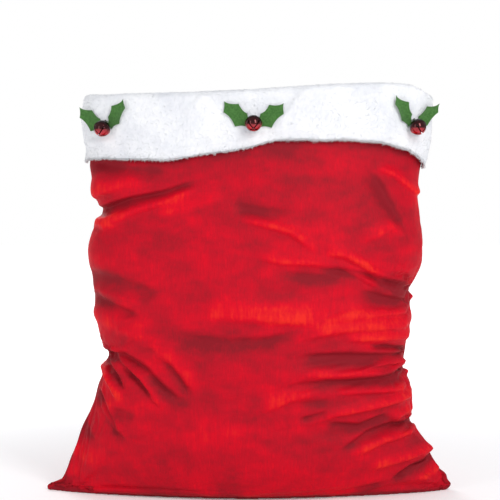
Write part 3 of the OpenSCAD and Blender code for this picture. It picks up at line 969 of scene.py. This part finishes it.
def plush(tree, bsdf, coords):
    place = coords["Object"]
    cloud = noise_at(tree, place, 16, 3, (1, 1, 0.8))
    tuft = noise_at(tree, place, 150, 4, (1, 1, 0.7))
    shade = weighted(tree, [(cloud, 0.7), (tuft, 0.3)], 0.0)
    coloured(tree, bsdf, shade, [(0.32, (0.68, 0.69, 0.73)), (0.62, (0.83, 0.83, 0.845))])
    fine = noise_at(tree, place, 520, 3)
    bumped(tree, bsdf, weighted(tree, [(tuft, 0.5), (fine, 1.0)]), 0.22, 0.0014)


def pile_fibre(tree, bsdf, coords):
    tint = noise_at(tree, coords["Object"], 300, 2)
    coloured(tree, bsdf, tint, [(0.3, (0.74, 0.75, 0.77)), (0.7, (0.84, 0.84, 0.85))])


def felt(tree, bsdf, coords):
    fibre = noise_at(tree, coords["Object"], 260, 6)
    coloured(tree, bsdf, fibre, [(0.3, (0.036, 0.115, 0.024)), (0.7, (0.072, 0.19, 0.045))])
    bumped(tree, bsdf, fibre, 0.5, 0.0012)


def lacquer(low, high):
    """Glossy red lacquer over metal, with a painted dark reflection that deepens towards the top
    of each pressing.
    """
    def build(tree, bsdf, coords):
        mottle = noise_at(tree, coords["Object"], 180, 3)
        parts = node(tree, "ShaderNodeSeparateXYZ", Vector=coords["Generated"])
        # painted reflection: darker towards the top of the pressing by height, a little mottled
        depth = weighted(tree, [(parts.outputs["Z"], 0.9), (mottle, 0.3)], -0.1)
        coloured(tree, bsdf, depth, [(0.22, low), (0.58, high)])
        rough = node(tree, "ShaderNodeMapRange", Value=mottle,
                     **{"To Min": 0.06, "To Max": 0.14})
        tree.links.new(rough.outputs[0], bsdf.inputs["Roughness"])

    return build


def steel(tree, bsdf, coords):
    grain = noise_at(tree, coords["Object"], 400, 3)
    coloured(tree, bsdf, grain, [(0.3, (0.35, 0.35, 0.36)), (0.7, (0.5, 0.5, 0.5))])


def thread(dark, light):
    def build(tree, bsdf, coords):
        twist = node(tree, "ShaderNodeTexWave", Vector=coords["Object"], Scale=420,
                     Distortion=1.5, bands_direction="DIAGONAL")
        coloured(tree, bsdf, twist.outputs["Fac"], [(0.2, dark), (0.8, light)])
        bumped(tree, bsdf, twist.outputs["Fac"], 0.6, 0.0004)

    return build


# the near-black red of the bells' painted dark reflection
PAINTED_DARK_REFLECTION = (0.05, 0.001, 0.002)
GLOSS = {"Metallic": 0.9, "Specular Tint": (0.25, 0.02, 0.02, 1), "Coat Weight": 0.6,
         "Coat Roughness": 0.04}
VELOUR = material("velour_face", velour, {
    "Roughness": 0.6, "Specular IOR Level": 0.1, "Sheen Weight": 0.3, "Sheen Roughness": 0.35,
    "Sheen Tint": (1.0, 0.06, 0.04, 1),
})
VELOUR_BACK = material("velour_reverse", velour_back,
                       {"Roughness": 0.85, "Specular IOR Level": 0.15})
PLUSH_MAT = material("plush_pile", plush, {
    "Roughness": 0.9, "Specular IOR Level": 0.05, "Sheen Weight": 0.25, "Sheen Roughness": 0.6,
})
PILE = material("plush_fibre", pile_fibre, {"Roughness": 0.8, "Specular IOR Level": 0.1})
FELT = material("green_felt", felt,
                {"Roughness": 0.92, "Specular IOR Level": 0.15, "Sheen Weight": 0.25})
# the bowl runs from red below to the painted dark reflection at its top; the cap is painted dark
# reflection all over
BOWL = material("red_lacquer_bowl", lacquer((0.58, 0.035, 0.05), PAINTED_DARK_REFLECTION), GLOSS)
CAP = material("red_lacquer_cap", lacquer(PAINTED_DARK_REFLECTION, (0.02, 0.0004, 0.001)), GLOSS)
STEEL = material("plain_steel", steel, {"Metallic": 1.0, "Roughness": 0.4})
PALE_THREAD = material("pale_thread", thread((0.55, 0.55, 0.53), (0.8, 0.8, 0.78)),
                       {"Roughness": 0.8})
GREEN_THREAD = material("green_thread", thread((0.02, 0.09, 0.02), (0.06, 0.2, 0.05)),
                        {"Roughness": 0.8})


def finish_with(obj, *materials):
    obj.data.materials.clear()
    for m in materials:
        obj.data.materials.append(m)


# ---- Build
front_panel = panel("front_panel_cloth", FRONT, ["front_panel"])
back_panel = panel("back_panel_cloth", BACK, ["back_panel"])
for p in (front_panel, back_panel):
    finish_with(p, VELOUR, VELOUR_BACK)
front_cuff, front_p, front_n = cuff("cuff_front_plush", FRONT, ["cuff_front"])
back_cuff, back_p, back_n = cuff("cuff_back_plush", BACK, ["cuff_back"])
for c in (front_cuff, back_cuff):
    finish_with(c, PLUSH_MAT)
front_fringe = fringe("cuff_front_fibres", front_p, front_n, 5)
back_fringe = fringe("cuff_back_fibres", back_p, back_n, 6)

for spot in SPOTS:
    for which in (0, 1):
        leaf(spot, which)
    leaf_stitches(spot)
mouth_stitches()

levels = np.linspace(14, 820, 160)
for name, table, hand in (("left", LEFT_SIDE, 1), ("right", RIGHT_SIDE, -1)):
    x = curve(table, levels)
    line = np.stack([x + hand * 2.0, x * 0, levels], -1)
    inward = np.stack([x * 0 + hand, x * 0, x * 0], -1)
    seam_allowance(f"{name}_seam_allowance", line, inward, f"side_seam_{name}", 31)
x = np.linspace(-425, 425, 170)
line = np.stack([x, x * 0, x * 0 + 1.0], -1)
inward = np.stack([x * 0, x * 0, x * 0 + 1.0], -1)
seam_allowance("bottom_seam_allowance", line, inward, "bottom_seam", 33)

# The bells keep their CAD solids, with lacquer, steel and thread on them.
for spot in SPOTS:
    for part, finish in (("bell_cap", CAP), ("bell_bowl", BOWL), ("bell_loop", CAP),
                         ("bell_pellet", STEEL), ("bell_tie", GREEN_THREAD)):
        finish_with(bpy.data.objects[f"{spot}_{part}"], finish)

# ---- Stage
def paper(tree, bsdf, coords):
    """Pale paper with a painted glow that grows further out, so that it meets the white around it.
    """
    far = node(tree, "ShaderNodeVectorMath", operation="LENGTH", Vector=coords["Object"])
    glow = node(tree, "ShaderNodeMapRange", interpolation_type="SMOOTHSTEP",
                Value=far.outputs["Value"],
                **{"From Min": 0.5, "From Max": 2.8, "To Min": 0.1, "To Max": 0.6})
    tree.links.new(glow.outputs[0], bsdf.inputs["Emission Strength"])


floor = new_object(
    "floor", [(-6, -6, 0), (6, -6, 0), (6, 8, 0), (-6, 8, 0)], [(0, 1, 2, 3)], smooth=False
)
floor.location.z = -0.0005
floor.data.materials.append(material("floor_paper", paper, {
    "Emission Color": (1, 1, 1, 1), "Base Color": (0.95, 0.95, 0.95, 1), "Roughness": 0.9,
}))


def studio():
    """White all round to the eye, and a softer grey fill for everything that it lights."""
    world = bpy.data.worlds.new("studio")
    bpy.context.scene.world = world
    world.use_nodes = True
    tree = world.node_tree
    shown = tree.nodes["Background"]
    shown.inputs["Color"].default_value = (1, 1, 1, 1)
    fill = node(tree, "ShaderNodeBackground", Color=(0.95, 0.97, 1, 1), Strength=0.6)
    path = node(tree, "ShaderNodeLightPath")
    mix = node(tree, "ShaderNodeMixShader", Fac=path.outputs["Is Camera Ray"])
    tree.links.new(fill.outputs[0], mix.inputs[1])
    tree.links.new(shown.outputs[0], mix.inputs[2])
    tree.links.new(mix.outputs[0], tree.nodes["World Output"].inputs["Surface"])
    bpy.context.scene.view_settings.view_transform = "Standard"


def area_light(name, at, size, watts):
    """A softbox (width, height) that looks at the sack's lower half."""
    data = bpy.data.lights.new(name, "AREA")
    data.shape = "RECTANGLE"
    data.energy = watts
    data.size, data.size_y = size
    obj = bpy.data.objects.new(name, data)
    obj.location = at
    obj.rotation_euler = (LIT_POINT - Vector(at)).to_track_quat("-Z", "Y").to_euler()
    bpy.context.scene.collection.objects.link(obj)


LIT_POINT = Vector((0, 0, 0.4))
studio()
area_light("key", (1.4, -2.6, 2.3), (0.9, 2.4), 53)
area_light("side", (-2.3, -2.4, 1.5), (0.5, 2.2), 13)
area_light("behind", (-1.3, 2.8, 2.2), (1.5, 1.5), 40)

SENSOR, VIEW_WIDTH = 36, 1.1  # the sensor in millimetres, and what it sees in metres
DISTANCE, ELEVATION, AIM = 4.0, math.radians(4), Vector((0.0044, 0, 0.5327))
camera = bpy.data.cameras.new("camera")
camera.sensor_width = SENSOR
camera.lens = SENSOR * DISTANCE / VIEW_WIDTH
view = bpy.data.objects.new("camera", camera)
view.location = AIM + DISTANCE * Vector((0, -math.cos(ELEVATION), math.sin(ELEVATION)))
view.rotation_euler = (AIM - view.location).to_track_quat("-Z", "Y").to_euler()
bpy.context.scene.collection.objects.link(view)
bpy.context.scene.camera = view
